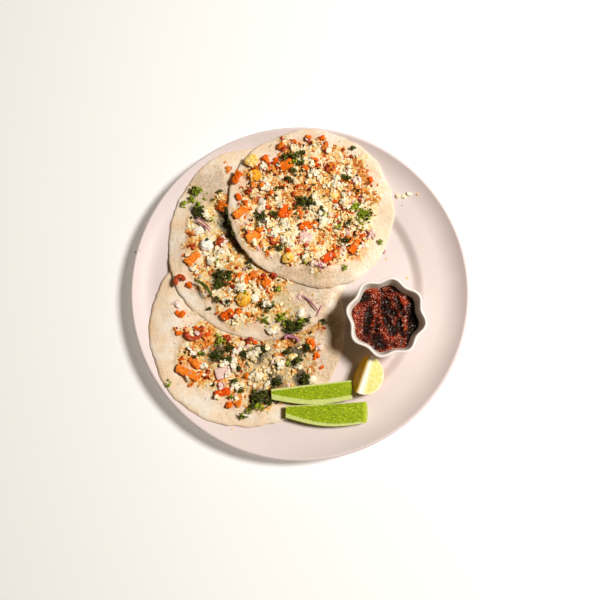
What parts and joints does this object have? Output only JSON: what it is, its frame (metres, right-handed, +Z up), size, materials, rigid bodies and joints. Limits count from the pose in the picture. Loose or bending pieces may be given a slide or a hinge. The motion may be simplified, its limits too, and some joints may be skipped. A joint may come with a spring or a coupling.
{
  "type": "plated uttapam",
  "caption": "Round plate of soft rice pancakes topped with crumbled paneer, carrot and herbs, with a fluted bowl of red chutney, a lime wedge and cut cucumber.",
  "frame": {"origin": "centre of the plate's foot ring, on the surface that the plate stands on", "axes": "+Z up; -Y towards the eater, where the cucumber lies; +X towards the bowl of chutney"},
  "size_m": [0.27, 0.27, 0.036],
  "materials": {
    "plate_glaze": "glossy white glaze with a faint warm pink cast",
    "bowl_glaze": "glossy white glaze",
    "uttapam": "soft matte steamed rice batter, cream with fine pores and a pale golden edge",
    "chutney": "wet, coarse dark red pulp with orange-red flecks and sharp highlights",
    "lime": "pale yellow-green pulp, white pith and yellow-green rind",
    "cucumber": "moist yellow-green seeded face with pale green flesh at its edges",
    "paneer": "soft white crumbled cheese",
    "paneer_fried": "cheese browned golden on its edges, white inside",
    "carrot": "moist orange cut carrot, redder at its browned edges",
    "tomato": "dark red fried tomato, a little glossy",
    "onion": "translucent pale pink onion",
    "onion_purple": "purple onion skin edge"
  },
  "bodies": {
    "root": {"plate": "plate_glaze", "uttapam_bottom": "uttapam", "uttapam_middle": "uttapam", "uttapam_top": "uttapam", "dip_bowl": "bowl_glaze", "chutney": "chutney", "lime_wedge": "lime", "cucumber_stick_back": "cucumber", "cucumber_stick_front": "cucumber", "paneer_golden_1": "paneer_fried", "paneer_golden_2": "paneer_fried", "paneer_golden_3": "paneer_fried", "paneer_yellow": "paneer_fried", "paneer_white_1": "paneer", "carrot_1": "carrot", "carrot_2": "carrot", "carrot_3": "carrot", "carrot_4": "carrot", "carrot_5": "carrot", "carrot_6": "carrot", "carrot_7": "carrot", "carrot_8": "carrot", "onion_pale_1": "onion", "tomato_1": "tomato", "paneer_white_2": "paneer", "paneer_white_3": "paneer", "paneer_white_4": "paneer", "paneer_golden_4": "paneer_fried", "carrot_9": "carrot", "carrot_10": "carrot", "carrot_11": "carrot", "carrot_12": "carrot", "tomato_2": "tomato", "tomato_3": "tomato", "tomato_4": "tomato", "carrot_13": "carrot", "carrot_14": "carrot", "carrot_15": "carrot", "onion_pale_2": "onion", "onion_purple": "onion_purple", "onion_curl": "onion", "paneer_golden_5": "paneer_fried"}
  },
  "joints": []
}
